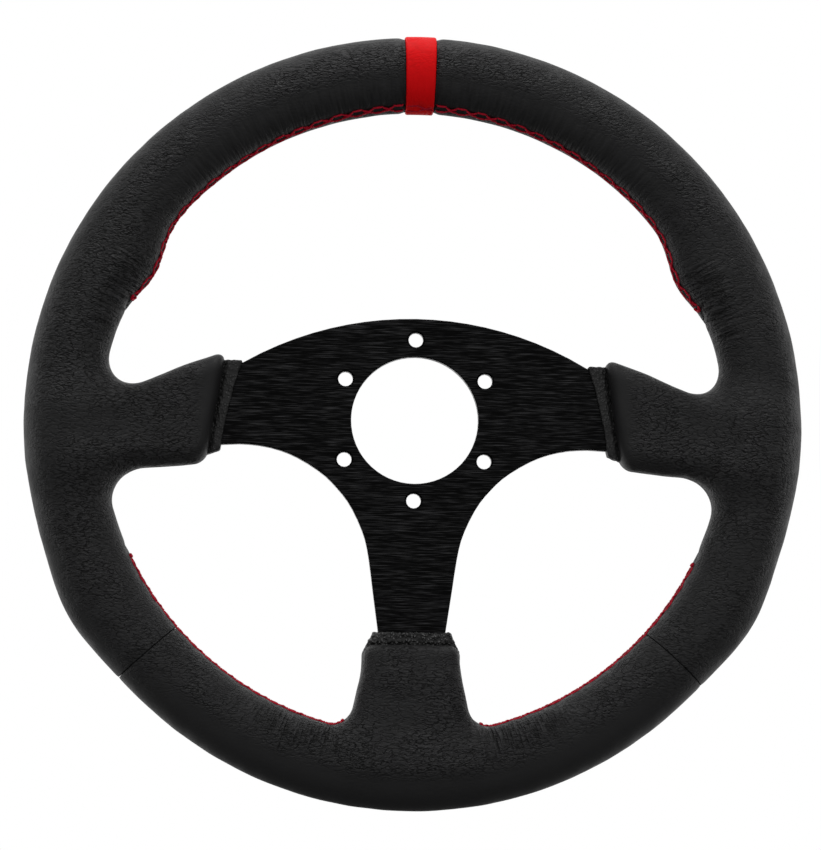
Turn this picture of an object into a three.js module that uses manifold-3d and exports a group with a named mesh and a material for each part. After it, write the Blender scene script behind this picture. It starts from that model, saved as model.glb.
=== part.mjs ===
// Three-spoke sports steering wheel: a flat aluminium spoke plate riveted to a steel hoop, a moulded
// foam rim with thumb grips and palm swells, and a stitched leather cover in three panels.
// Millimetres. X right, Z towards 12 o'clock, -Y towards the driver. The origin is the centre of the
// bolt circle, halfway through the plate. Angles are clockwise from 12 o'clock, in degrees.
import * as THREE from "three";
import { mergeVertices } from "three/addons/utils/BufferGeometryUtils.js";
import Module from "manifold-3d";

const wasm = await Module();
wasm.setup();

// Rim
const RIM_OUTER = 168.5;
const RIM_INNER = 135.3;
const RIM_MIDDLE = (RIM_OUTER + RIM_INNER) / 2;
const RIM_DEPTH = 30;
const RIM_STEPS = 54;
const RIM_SIDES = 12;
const THUMB_ANGLE = 61.5;
const THUMB_HEIGHT = 5.8;
const THUMB_SPREAD = 6.9;
const PALM_ANGLE = 120.5;
const PALM_HEIGHT = 2.8;
const PALM_SPREAD = 7.9;
const HEEL_DEPTH = 0.3;
const HEEL_START = 98;
const HEEL_FULL = 110;

// Cover
const GAP = 0.3;
const LEATHER = 1.3;
const SEAM_ANGLE = 132;
const MARKER_INNER_HALF = 6.35;
const MARKER_OUTER_HALF = 7.15;
const MARKER_PROUD = 0.5;
const THREAD_RADIUS = 0.7;
const THREAD_LIFT = 1.35;
const THREAD_STEP = 4;
const THREAD_SIDES = 6;
const THREAD_END = 1;
const SEAM_BEHIND = 64;

// Spoke plate
const PLATE_THICKNESS = 5;
const PLATE_EDGE = 0.4;
const PLATE_TOP_RADIUS = 147;
const PLATE_TOP_CENTRE = -102.8;
const PLATE_TOP_END = 74.5;
const PLATE_TOP_STEPS = 10;
const SIDE_ARM_END = [[118, 8.5], [118, -11]];
const BOTTOM_ARM_END = [10, -126];
const PLATE_UNDERSIDE_STEPS = 26;
const PLATE_UNDERSIDE = [
  [83.5, -12],
  [73.1, -11.6],
  [61.7, -13.1],
  [51.4, -16.7],
  [40.4, -23.3],
  [33.3, -29.9],
  [27.3, -37.6],
  [21.8, -49],
  [19.2, -59.2],
  [16.8, -76],
  [14.7, -90.5],
];
const BORE_RADIUS = 27.6;
const BOLT_CIRCLE_RADIUS = 35;
const BOLT_HOLE_RADIUS = 3.2;
const BOLT_HOLES = 6;
const HOLE_CHAMFER = 0.8;
const BORE_SEGMENTS = 60;
const HOLE_SEGMENTS = 16;

// Hoop, lugs and rivets
const HOOP_RADIUS = 5;
const HOOP_SIDES = 8;
const HOOP_STEPS = 48;
const LUG_THICKNESS = 3;
const LUG_WIDTH = 18;
const RIVET_SHANK = 2.4;
const RIVET_HEAD = 4.5;
const RIVET_HEAD_HEIGHT = 1.8;
const RIVET_DOME = 0.7;
const RIVET_SEGMENTS = 10;

// Spoke sheaths, as stations of [along the spoke, lower edge, upper edge, half depth]. A side spoke runs
// along X, and the bottom one along -Z. Each starts inboard of its end and runs on into the rim.
const SIDE_SHEATH = [
  [72, -16.2, 27.2, 10],
  [88, -17, 26, 10.6],
  [94, -19.6, 24.3, 11],
  [110, -22, 17.6, 12],
  [119, -23.6, 13.4, 12.5],
  [126, -26.4, 13.8, 12.5],
  [131, -31.5, 18.4, 12.5],
  [145, -34, 26, 11],
];
const BOTTOM_SHEATH = [
  [86, -20.5, 20.5, 10],
  [100, -20.5, 20.5, 10.6],
  [110, -22, 22, 11.6],
  [118, -23.4, 23.4, 12],
  [124, -24.6, 24.6, 12.5],
  [128, -26.6, 26.6, 11.5],
  [131, -29.5, 29.5, 10],
  [145, -32, 32, 10],
];
const SHEATH_SIDES = 14;
const END_MARGIN = 20;
const SECTOR_STEP = 40;

// Each spoke: its sheath, the line of the sheath's inboard end, the cuff's inboard and outboard edges, the
// lug's middle line, and the rivets' places along it. Points are [along, across].
const SPOKES = {
  right: {
    sheath: SIDE_SHEATH,
    end: [[82.6, 25.6], [89.6, -17.4]],
    cuffInner: [[74.9, 24.8], [83.8, -14.4]],
    cuffOuter: [[90, 20.4], [95, -13.7]],
    lugMiddle: -1.5,
    lugFrom: 98,
    rivets: [103, 113],
  },
  bottom: {
    sheath: BOTTOM_SHEATH,
    end: [[97.2, 22], [97.2, -22]],
    cuffInner: [[91.8, 16.6], [91.8, -16.6]],
    cuffOuter: [[102, 16], [102, -16]],
    lugMiddle: 0,
    lugFrom: 105,
    rivets: [110, 120],
  },
};
SPOKES.left = SPOKES.right;

const LEATHER_BLACK = new THREE.MeshStandardMaterial({ color: 0x1c1c1e, roughness: 0.55, metalness: 0 });
const LEATHER_RED = new THREE.MeshStandardMaterial({ color: 0xb80f16, roughness: 0.5, metalness: 0 });
const CUFF_BLACK = new THREE.MeshStandardMaterial({ color: 0x161617, roughness: 0.7, metalness: 0 });
const ANODISED = new THREE.MeshStandardMaterial({ color: 0x121213, roughness: 0.35, metalness: 0.9 });
const STEEL = new THREE.MeshStandardMaterial({ color: 0x8b8d90, roughness: 0.4, metalness: 1 });
const FOAM = new THREE.MeshStandardMaterial({ color: 0x2a2a2a, roughness: 0.9, metalness: 0 });
const THREAD_RED = new THREE.MeshStandardMaterial({ color: 0xb01020, roughness: 0.6, metalness: 0 });

const radians = THREE.MathUtils.degToRad;
const degrees = THREE.MathUtils.radToDeg;
const seamGap = degrees(GAP / 2 / RIM_INNER);
const markerHalfAngle = degrees(Math.asin(MARKER_INNER_HALF / RIM_INNER));
const wheel = new THREE.Group();

function add(name, shape, material) {
  const geometry = shape.isBufferGeometry ? shape : geometryOf(shape);
  const mesh = new THREE.Mesh(geometry, material);
  mesh.name = name;
  wheel.add(mesh);
}

// A closed three.js geometry as a manifold-3d solid.
function solidOf(geometry) {
  const bare = geometry.clone();
  bare.deleteAttribute("normal");
  bare.deleteAttribute("uv");
  const merged = mergeVertices(bare, 1e-4);
  return new wasm.Manifold(
    new wasm.Mesh({
      numProp: 3,
      vertProperties: merged.attributes.position.array,
      triVerts: new Uint32Array(merged.index.array),
    }),
  );
}

function geometryOf(solid) {
  const mesh = solid.getMesh();
  const geometry = new THREE.BufferGeometry();
  geometry.setAttribute("position", new THREE.BufferAttribute(mesh.vertProperties, 3));
  geometry.setIndex(new THREE.BufferAttribute(mesh.triVerts, 1));
  return geometry;
}

function reshape(geometry, place) {
  const position = geometry.attributes.position;
  const point = new THREE.Vector3();
  for (let i = 0; i < position.count; i += 1) {
    point.fromBufferAttribute(position, i);
    place(point);
    position.setXYZ(i, point.x, point.y, point.z);
  }
  return geometry;
}

// A flat outline in X and Z, extruded between two depths along Y. Its edges are chamfered by edge, and
// the outline is first moved outwards by grow.
function slab(points, front, back, edge = 0, grow = 0) {
  const shape = new THREE.Shape(points.map(([x, z]) => new THREE.Vector2(x, z)));
  const geometry = new THREE.ExtrudeGeometry(shape, {
    depth: back - front - 2 * edge,
    bevelEnabled: edge > 0,
    bevelSegments: 1,
    bevelSize: edge,
    bevelThickness: edge,
    bevelOffset: grow - edge,
  });
  geometry.rotateX(Math.PI / 2);
  geometry.translate(0, back - edge, 0);
  return geometry;
}

// A round cutter or pin along Y, from [radius, y] pairs that start and end on the axis.
function turned(profile, x, z, segments) {
  const points = profile.map(([radius, y]) => new THREE.Vector2(radius, y));
  return new THREE.LatheGeometry(points, segments).translate(x, 0, z);
}

// Turns points drawn along and across a spoke into X and Z.
function onSpoke(side, [along, across]) {
  if (side === "bottom") {
    return [across, -along];
  }
  return [side === "right" ? along : -along, across];
}

function spokeSlab(side, points, front, back) {
  return solidOf(slab(points.map((point) => onSpoke(side, point)), front, back));
}

function swell(angle, centre, spread) {
  const off = (Math.abs(angle) - centre) / spread;
  return Math.exp(-off * off);
}

// The rim is a little slimmer from the heel of the hand down.
function innerRadius(angle) {
  const heel = HEEL_DEPTH * THREE.MathUtils.smoothstep(Math.abs(angle), HEEL_START, HEEL_FULL);
  return RIM_INNER + heel - THUMB_HEIGHT * swell(angle, THUMB_ANGLE, THUMB_SPREAD);
}

function outerRadius(angle) {
  return RIM_OUTER + PALM_HEIGHT * swell(angle, PALM_ANGLE, PALM_SPREAD);
}

// A point of the rim's surface: around is the turn about the rim's own middle line, 0 on the outside,
// 90 at the back and 180 on the inner edge. lift is the distance out from the surface.
function rimPoint(angle, around, lift) {
  const inner = innerRadius(angle);
  const outer = outerRadius(angle);
  const radius = (inner + outer) / 2 + ((outer - inner) / 2 + lift) * Math.cos(radians(around));
  const depth = (RIM_DEPTH / 2 + lift) * Math.sin(radians(around));
  const turn = radians(angle);
  return new THREE.Vector3(radius * Math.sin(turn), depth, radius * Math.cos(turn));
}

function rimSolid(lift) {
  const torus = new THREE.TorusGeometry(2, 1, RIM_SIDES, RIM_STEPS);
  reshape(torus, (point) => {
    const angle = degrees(Math.atan2(point.x, point.y));
    const out = Math.hypot(point.x, point.y) - 2;
    const around = degrees(Math.atan2(-point.z, out));
    point.copy(rimPoint(angle, around, lift));
  });
  return solidOf(torus);
}

// A flattened round section, lofted through the stations of a sheath.
function sheathSolid(side, lift) {
  const stations = SPOKES[side].sheath;
  const last = stations.length - 1;
  const loft = new THREE.CylinderGeometry(1, 1, 1, SHEATH_SIDES, last);
  const flatten = (value) => Math.sign(value) * Math.abs(value) ** 0.6;
  reshape(loft, (point) => {
    const row = Math.round((0.5 - point.y) * last);
    const [along, lower, upper, halfDepth] = stations[row];
    const across = (upper + lower) / 2 + ((upper - lower) / 2 + lift) * flatten(point.x);
    const [x, z] = onSpoke(side, [along, across]);
    const facing = side === "left" ? 1 : -1;
    point.set(x, facing * (halfDepth + lift) * flatten(point.z), z);
  });
  return solidOf(loft);
}

// Everything inboard of a sheath's end, moved outboard by recess.
function inboardOf(side, recess) {
  const [upper, lower] = SPOKES[side].end;
  const points = [
    [0, upper[1] + END_MARGIN],
    [upper[0] + recess, upper[1] + END_MARGIN],
    [upper[0] + recess, upper[1]],
    [lower[0] + recess, lower[1]],
    [lower[0] + recess, lower[1] - END_MARGIN],
    [0, lower[1] - END_MARGIN],
  ];
  return spokeSlab(side, points, -RIM_DEPTH, RIM_DEPTH);
}

// The rim and its sheaths, with every surface moved outwards by lift.
function gripSolid(lift) {
  let grip = rimSolid(lift);
  for (const side of Object.keys(SPOKES)) {
    grip = grip.add(sheathSolid(side, lift)).subtract(inboardOf(side, -lift));
  }
  return grip;
}

// A pie slice of the rim between two angles.
function sector(from, to) {
  const reach = 1.5 * RIM_OUTER;
  const steps = Math.ceil((to - from) / SECTOR_STEP);
  const points = [[0, 0]];
  for (let i = 0; i <= steps; i += 1) {
    const angle = radians(from + ((to - from) * i) / steps);
    points.push([reach * Math.sin(angle), reach * Math.cos(angle)]);
  }
  return solidOf(slab(points, -RIM_DEPTH, RIM_DEPTH));
}

function hoopSolid(lift) {
  const torus = new THREE.TorusGeometry(RIM_MIDDLE, HOOP_RADIUS + lift, HOOP_SIDES, HOOP_STEPS);
  return solidOf(torus.rotateX(Math.PI / 2));
}

// The plate's outline: the right half from the top round to the end of the bottom arm, then its mirror.
function plateOutline() {
  const half = [];
  for (let i = 0; i <= PLATE_TOP_STEPS; i += 1) {
    const x = (PLATE_TOP_END * i) / PLATE_TOP_STEPS;
    half.push([x, PLATE_TOP_CENTRE + Math.sqrt(PLATE_TOP_RADIUS ** 2 - x ** 2)]);
  }
  half.push(...SIDE_ARM_END);
  const underside = new THREE.SplineCurve(PLATE_UNDERSIDE.map(([x, z]) => new THREE.Vector2(x, z)));
  underside.getPoints(PLATE_UNDERSIDE_STEPS).forEach((point) => half.push([point.x, point.y]));
  half.push(BOTTOM_ARM_END);
  const mirrored = half.slice(1).reverse().map(([x, z]) => [-x, z]);
  return half.concat(mirrored);
}

function boltHolePlaces() {
  const places = [];
  for (let i = 0; i < BOLT_HOLES; i += 1) {
    const angle = (2 * Math.PI * i) / BOLT_HOLES;
    places.push([BOLT_CIRCLE_RADIUS * Math.sin(angle), BOLT_CIRCLE_RADIUS * Math.cos(angle)]);
  }
  return places;
}

// A cutter for a through hole with both of its rims chamfered.
function holeCutter(radius, chamfer, x, z, segments) {
  const face = PLATE_THICKNESS / 2;
  const past = 1;
  const profile = [
    [0, -face - past],
    [radius + chamfer + past, -face - past],
    [radius, -face + chamfer],
    [radius, face - chamfer],
    [radius + chamfer + past, face + past],
    [0, face + past],
  ];
  return solidOf(turned(profile, x, z, segments));
}

function rivetPlaces(side) {
  const { rivets, lugMiddle } = SPOKES[side];
  return rivets.map((along) => onSpoke(side, [along, lugMiddle]));
}

function platePiece() {
  const face = PLATE_THICKNESS / 2;
  let plate = solidOf(slab(plateOutline(), -face, face, PLATE_EDGE));
  plate = plate.subtract(holeCutter(BORE_RADIUS, PLATE_EDGE, 0, 0, BORE_SEGMENTS));
  for (const [x, z] of boltHolePlaces()) {
    plate = plate.subtract(holeCutter(BOLT_HOLE_RADIUS, HOLE_CHAMFER, x, z, HOLE_SEGMENTS));
  }
  for (const side of Object.keys(SPOKES)) {
    for (const [x, z] of rivetPlaces(side)) {
      plate = plate.subtract(rivetClearance(x, z, RIVET_SHANK + GAP, RIVET_SHANK + GAP));
    }
  }
  return plate;
}

// The rivets' clamped length runs from the plate's front face to the lug's rear face.
function clampedSpan() {
  const front = -PLATE_THICKNESS / 2 - GAP;
  const back = PLATE_THICKNESS / 2 + GAP + LUG_THICKNESS + GAP;
  return [front, back];
}

function rivetPiece(x, z) {
  const [front, back] = clampedSpan();
  const profile = [
    [0, front - RIVET_HEAD_HEIGHT],
    [RIVET_HEAD * RIVET_DOME, front - RIVET_HEAD_HEIGHT * RIVET_DOME],
    [RIVET_HEAD, front],
    [RIVET_SHANK, front],
    [RIVET_SHANK, back],
    [RIVET_HEAD, back],
    [RIVET_HEAD * RIVET_DOME, back + RIVET_HEAD_HEIGHT * RIVET_DOME],
    [0, back + RIVET_HEAD_HEIGHT],
  ];
  return turned(profile, x, z, RIVET_SEGMENTS);
}

function rivetClearance(x, z, shank, head) {
  const [front, back] = clampedSpan();
  const profile = [
    [0, front - RIVET_HEAD_HEIGHT - GAP],
    [head, front - RIVET_HEAD_HEIGHT - GAP],
    [head, front],
    [shank, front],
    [shank, back],
    [head, back],
    [head, back + RIVET_HEAD_HEIGHT + GAP],
    [0, back + RIVET_HEAD_HEIGHT + GAP],
  ];
  return solidOf(turned(profile, x, z, RIVET_SEGMENTS));
}

function lugOutline(side, lift) {
  const { lugFrom, lugMiddle } = SPOKES[side];
  const low = lugMiddle - LUG_WIDTH / 2 - lift;
  const high = lugMiddle + LUG_WIDTH / 2 + lift;
  const near = lugFrom - lift;
  const far = RIM_MIDDLE + lift;
  return [[near, low], [far, low], [far, high], [near, high]];
}

function lugPiece(side) {
  const front = PLATE_THICKNESS / 2 + GAP;
  let lug = spokeSlab(side, lugOutline(side, 0), front, front + LUG_THICKNESS);
  lug = lug.subtract(hoopSolid(GAP));
  for (const [x, z] of rivetPlaces(side)) {
    lug = lug.subtract(rivetClearance(x, z, RIVET_SHANK + GAP, RIVET_SHANK + GAP));
  }
  return lug;
}

function lugSpace(side) {
  const front = PLATE_THICKNESS / 2;
  return spokeSlab(side, lugOutline(side, GAP), front, front + LUG_THICKNESS + 2 * GAP);
}

// The plate with room all round.
function plateSpace() {
  const face = PLATE_THICKNESS / 2 + GAP;
  return solidOf(slab(plateOutline(), -face, face, GAP, GAP));
}

function cuffOutline(side, lift) {
  const { cuffInner, cuffOuter } = SPOKES[side];
  const [innerUpper, innerLower] = cuffInner;
  const [outerUpper, outerLower] = cuffOuter;
  return [
    [innerUpper[0], innerUpper[1] + lift],
    [outerUpper[0] + lift, outerUpper[1] + lift],
    [outerLower[0] + lift, outerLower[1] - lift],
    [innerLower[0], innerLower[1] - lift],
  ];
}

function cuffSolid(side, lift) {
  const face = PLATE_THICKNESS / 2 + GAP + LEATHER + lift;
  return spokeSlab(side, cuffOutline(side, lift), -face, face);
}

function foamPiece() {
  let foam = gripSolid(-LEATHER - GAP).subtract(hoopSolid(GAP)).subtract(plateSpace());
  for (const side of Object.keys(SPOKES)) {
    foam = foam.subtract(cuffSolid(side, GAP));
    foam = foam.subtract(lugSpace(side));
    for (const [x, z] of rivetPlaces(side)) {
      foam = foam.subtract(rivetClearance(x, z, RIVET_SHANK + GAP, RIVET_HEAD + GAP));
    }
  }
  return foam;
}

// The whole cover before it is cut into panels, with a slot at each sheath's end for plate and cuff, and
// room for the marker band.
function coverSolid() {
  let cover = gripSolid(0).subtract(gripSolid(-LEATHER));
  for (const side of Object.keys(SPOKES)) {
    cover = cover.subtract(cuffSolid(side, GAP));
  }
  return cover.subtract(markerBlock(GAP / 2));
}

// The part of the rim that the marker band covers. It widens a little outwards.
function markerBlock(lift) {
  const slope = (MARKER_OUTER_HALF - MARKER_INNER_HALF) / (RIM_OUTER - RIM_INNER);
  const low = RIM_INNER - END_MARGIN;
  const high = RIM_OUTER + END_MARGIN;
  const lowHalf = MARKER_INNER_HALF - slope * END_MARGIN + lift;
  const highHalf = MARKER_OUTER_HALF + slope * END_MARGIN + lift;
  const points = [[-lowHalf, low], [lowHalf, low], [highHalf, high], [-highHalf, high]];
  return solidOf(slab(points, -RIM_DEPTH, RIM_DEPTH));
}

function markerPiece() {
  return rimSolid(MARKER_PROUD).subtract(rimSolid(-LEATHER)).intersect(markerBlock(-GAP / 2));
}

// The seam's place round the section: on the inner edge, but on the back where a spoke joins the rim.
function seamAround(angle) {
  const turn = Math.abs(angle);
  const { smoothstep } = THREE.MathUtils;
  const behindSide = smoothstep(turn, 66, 76) - smoothstep(turn, 106, 117);
  const behindBottom = smoothstep(turn, 154, 166);
  return 180 - SEAM_BEHIND * Math.max(behindSide, behindBottom);
}

// A thread that follows the seam from one angle to another, clear of the cover by lift.
function threadPiece(from, to, lift) {
  const steps = Math.ceil(Math.abs(to - from) / THREAD_STEP);
  const points = [];
  for (let i = 0; i <= steps; i += 1) {
    const angle = from + ((to - from) * i) / steps;
    const turn = angle > 180 ? 360 - angle : angle;
    points.push(rimPoint(angle, seamAround(turn), lift));
  }
  const section = new THREE.Shape();
  section.absarc(0, 0, THREAD_RADIUS, 0, 2 * Math.PI);
  return new THREE.ExtrudeGeometry(section, {
    steps,
    curveSegments: THREAD_SIDES / 2,
    bevelEnabled: false,
    extrudePath: new THREE.CatmullRomCurve3(points),
  });
}

const cover = coverSolid();
const panels = {
  right: sector(0, SEAM_ANGLE - seamGap),
  left: sector(seamGap - SEAM_ANGLE, 0),
  bottom: sector(SEAM_ANGLE + seamGap, 360 - SEAM_ANGLE - seamGap),
};
const threads = {
  right: [markerHalfAngle + THREAD_END, SEAM_ANGLE - THREAD_END, THREAD_LIFT],
  left: [-markerHalfAngle - THREAD_END, THREAD_END - SEAM_ANGLE, THREAD_LIFT],
  bottom: [SEAM_ANGLE + THREAD_END, 360 - SEAM_ANGLE - THREAD_END, THREAD_LIFT],
  marker: [-markerHalfAngle, markerHalfAngle, THREAD_LIFT + MARKER_PROUD],
};

add("spoke_plate", platePiece(), ANODISED);
add("rim_hoop", hoopSolid(0), STEEL);
add("foam_core", foamPiece(), FOAM);
add("centre_marker", markerPiece(), LEATHER_RED);
for (const side of Object.keys(SPOKES)) {
  add(`hoop_lug_${side}`, lugPiece(side), STEEL);
  rivetPlaces(side).forEach(([x, z], index) => {
    add(`rivet_${side}_${index + 1}`, rivetPiece(x, z), STEEL);
  });
  add(`cuff_${side}`, cuffSolid(side, 0).subtract(plateSpace()), CUFF_BLACK);
  add(`leather_${side}`, cover.intersect(panels[side]), LEATHER_BLACK);
}
for (const [name, [from, to, lift]] of Object.entries(threads)) {
  add(`stitching_${name}`, threadPiece(from, to, lift), THREAD_RED);
}

export default wheel;
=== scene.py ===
"""Three-spoke sports steering wheel: its looks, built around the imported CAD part.

Lengths are millimetres until a mesh is made, angles are degrees clockwise from 12 o'clock as the driver
sees them. X is right, Z up, and -Y faces the driver. The leather is meshed from a distance field: a
function that is negative inside the shape, zero on its surface and about the distance outside it.
"""

import math

import bmesh
import bpy
import numpy as np
import openvdb
from mathutils import Matrix, Vector, noise


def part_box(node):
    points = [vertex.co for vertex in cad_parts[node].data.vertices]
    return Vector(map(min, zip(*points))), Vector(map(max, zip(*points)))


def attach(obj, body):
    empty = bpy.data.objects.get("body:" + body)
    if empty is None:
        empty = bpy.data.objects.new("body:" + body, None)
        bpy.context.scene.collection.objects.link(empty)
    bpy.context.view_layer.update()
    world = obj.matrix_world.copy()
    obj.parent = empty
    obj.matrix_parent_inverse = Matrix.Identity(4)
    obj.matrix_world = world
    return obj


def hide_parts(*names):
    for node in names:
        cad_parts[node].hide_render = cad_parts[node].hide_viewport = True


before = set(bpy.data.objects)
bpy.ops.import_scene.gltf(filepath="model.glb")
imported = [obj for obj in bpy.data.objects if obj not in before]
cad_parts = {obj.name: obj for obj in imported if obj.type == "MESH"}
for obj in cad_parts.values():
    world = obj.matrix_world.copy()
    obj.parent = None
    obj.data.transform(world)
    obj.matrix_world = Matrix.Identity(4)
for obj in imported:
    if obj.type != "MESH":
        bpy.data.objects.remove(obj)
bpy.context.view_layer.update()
MM = 0.001
BODY = "root"

# ------------------------------------------------------------------ sizes
# The marker band stands proud of the rim, and half its width grows from the inner to the outer edge.
MARKER_PROUD = 0.5
MARKER_INNER_HALF, MARKER_OUTER_HALF = 6.35, 7.15
MARKER_HALF_ANGLE = 2.69
MARKER_EDGE = 0.9
# The leather's thickness, the angle where its panels meet, and how far each panel and the marker band stay
# short of the line where they meet.
LEATHER = 1.3
SEAM_ANGLE = 132.0
PANEL_GAP = 0.26
# The grip's shape: the angle of each swelling, how far it stands out and how wide it spreads. The thumb
# rests stand inwards and the palm swellings outwards. Below, the inner edge lies slightly further out.
THUMB_ANGLE, THUMB_HEIGHT, THUMB_SPREAD = 61.5, 5.8, 6.9
PALM_ANGLE, PALM_HEIGHT, PALM_SPREAD = 120.5, 2.8, 7.9
HEEL_DEPTH, HEEL_START, HEEL_FULL = 0.3, 98.0, 110.0
# The rim is a little wider across than it is high, and its section a little squarer than an ellipse.
SIDE_SWELL = 0.35
SQUARENESS = 2.15

marker_low, marker_high = (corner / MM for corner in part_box("centre_marker"))
panel_low, panel_high = (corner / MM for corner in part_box("leather_bottom"))
RIM_OUTER = marker_high.z - MARKER_PROUD
RIM_INNER = marker_low.z / math.cos(math.radians(MARKER_HALF_ANGLE)) + MARKER_PROUD
RIM_DEPTH = panel_high.y - panel_low.y
TUBE = (RIM_OUTER - RIM_INNER) / 2
PLATE_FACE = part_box("spoke_plate")[1].y / MM
CUFF_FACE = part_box("cuff_right")[1].y / MM

# Sheaths: stations of [along the spoke, lower edge, upper edge, half depth], the line of the inboard end,
# and the radii of its long edges, its end and the fillet into the rim.
SIDE_SHEATH = {
    "stations": [
        [70, -18.0, 33.2, 10.0],
        [90, -19.9, 25.6, 10.6],
        [100, -21.1, 22.0, 11.3],
        [110, -22.0, 17.6, 12.0],
        [118, -22.5, 14.2, 12.5],
        [126, -23.2, 12.0, 12.5],
        [150, -25.0, 8.0, 11.0],
    ],
    "end": [(82.6, 25.6), (89.6, -17.4)],
    "edge_radius": 8.0,
    "end_radius": 4.8,
    "fillet": 17.0,
}
BOTTOM_SHEATH = {
    "stations": [
        [80, -21.0, 21.0, 10.0],
        [98, -21.4, 21.4, 10.4],
        [110, -22.0, 22.0, 11.6],
        [118, -23.6, 23.6, 12.0],
        [126, -25.2, 25.2, 12.5],
        [150, -30.0, 30.0, 11.0],
    ],
    "end": [(97.2, 22.0), (97.2, -22.0)],
    "edge_radius": 8.0,
    "end_radius": 4.8,
    "fillet": 9.5,
}
SHEATH_OUTBOARD = 154.0
# Each cuff: its hub-side edge, upper end first, how far that edge is hollowed at its middle, how fast and
# how far the cuff widens towards the rim, how far it may run out, and how strongly it is crinkled.
SIDE_CUFF = {
    "inner": [(74.9, 24.7), (83.9, -14.3)],
    "hollow": 0.9,
    "flare": (0.38, 7),
    "reach": 12.0,
    "crinkle": 0.28,
}
BOTTOM_CUFF = {
    "inner": [(91.8, 16.6), (91.8, -16.6)],
    "hollow": 0.0,
    "flare": (0.5, 9),
    "reach": 8.0,
    "crinkle": 0.9,
}
# How thick a cuff lies on the plate, how much thinner it is under the leather, and how far it goes there.
CUFF_THICK, CUFF_TUCK, CUFF_UNDER = 1.45, 0.9, 3.0
# How far the slot in the leather goes out from the cuff's edge, and its room over the cuff.
SLOT_REACH, SLOT_ROOM = 20.0, 0.2

# Meshing: the spacing of the grids, the room left round the leather, and the angles that stay sharp.
VOXEL = 0.82
CORE_VOXEL = 2.0
CUFF_VOXEL = 0.45
FIELD_MARGIN = 3.0
SHARP, CUFF_SHARP, THREAD_SHARP = math.radians(38), math.radians(60), math.radians(70)

# Stitches: dashes in two rows with a cross between each pair. A thread's middle is lifted off the leather,
# sinks into it at the stitch's ends, and is raised where it crosses another.
STITCH_PITCH = 8.8
DASH_LENGTH = 4.2
ROW_HALF_GAP = 2.3
CROSS_WIDTH = 0.8
THREAD_RADIUS = 0.46
THREAD_SIDES, PLY_TURN, PLY_DEPTH = 8, 2.2, 0.16
THREAD_LIFT, THREAD_SUNK, THREAD_RAISED = 0.16, -0.6, 0.45
STITCH_JITTER = 0.06
TIGHT_STITCH = {"lift": 0.0, "sunk": -0.3, "raised": 0.28}
MARKER_STITCH = {"lift": MARKER_PROUD - 0.15, "sunk": -0.4, "raised": 0.2}
# The seam's place, in degrees about the rim's middle line: forward of the inner edge at the top, at the
# sides and below, and behind it at the sheaths.
SEAM_FORWARD_TOP, SEAM_FORWARD_SIDE, SEAM_FORWARD_BELOW = 22.0, 11.0, 5.0
SEAM_BEHIND = 64.0
# Where along the rim the seam turns, and where the stitch runs end.
TOP_ENDS = 38
LOWER_SETS_IN = (70, 110)
GOES_BEHIND, COMES_FORWARD, BOTTOM_GOES_BEHIND = (68.5, 74), (108, 116), (168, 173)
LOOP_ANGLE = 67.8
BEHIND_SPOKE_RUN, BEHIND_BOTTOM_RUN = (74.0, 108.0), (173.0, 180.0)
LOWER_START, LOWER_END_RIGHT, LOWER_END_LEFT = 117.0, 167.0, 168.0


# ------------------------------------------------------------------ fields
def smooth_step(value, start, end):
    """From 0 at start to 1 at end, level at both."""
    t = np.clip((value - start) / (end - start), 0, 1)
    return t * t * (3 - 2 * t)


def swell(angle, centre, spread):
    """A bell shape, the same on both sides of the wheel: 1 at centre degrees."""
    return np.exp(-(((np.abs(angle) - centre) / spread) ** 2))


def smooth_curve(places, values):
    """A smooth function through the given values, held level past its ends."""
    places, values = np.array(places, float), np.array(values, float)
    steps = np.diff(places)
    slopes = np.diff(values) / steps
    middle = (slopes[:-1] * steps[1:] + slopes[1:] * steps[:-1]) / (steps[:-1] + steps[1:])
    tangents = np.concatenate([slopes[:1], middle, slopes[-1:]])

    def curve(at):
        at = np.clip(at, places[0], places[-1])
        i = np.clip(np.searchsorted(places, at) - 1, 0, len(steps) - 1)
        t = (at - places[i]) / steps[i]
        start = (1 + 2 * t) * (1 - t) ** 2 * values[i] + t * (1 - t) ** 2 * steps[i] * tangents[i]
        end = t * t * (3 - 2 * t) * values[i + 1] + t * t * (t - 1) * steps[i] * tangents[i + 1]
        return start + end

    return curve


def meet(a, b, radius):
    """Where two shapes overlap, with the edge between them rounded."""
    corner = np.hypot(np.maximum(a + radius, 0), np.maximum(b + radius, 0))
    return np.minimum(np.maximum(a, b), -radius) + corner


def join(a, b, radius):
    """Two shapes together, with a fillet between them."""
    return -meet(-a, -b, radius)


def inner_radius(angle):
    """The distance from the axle to the rim's inner edge."""
    thumb = THUMB_HEIGHT * swell(angle, THUMB_ANGLE, THUMB_SPREAD)
    heel = HEEL_DEPTH * smooth_step(np.abs(angle), HEEL_START, HEEL_FULL)
    return RIM_INNER - thumb + heel


def outer_radius(angle):
    """The distance from the axle to the rim's outer edge."""
    side = SIDE_SWELL * np.sin(np.radians(angle)) ** 2
    return RIM_OUTER + side + PALM_HEIGHT * swell(angle, PALM_ANGLE, PALM_SPREAD)


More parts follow.
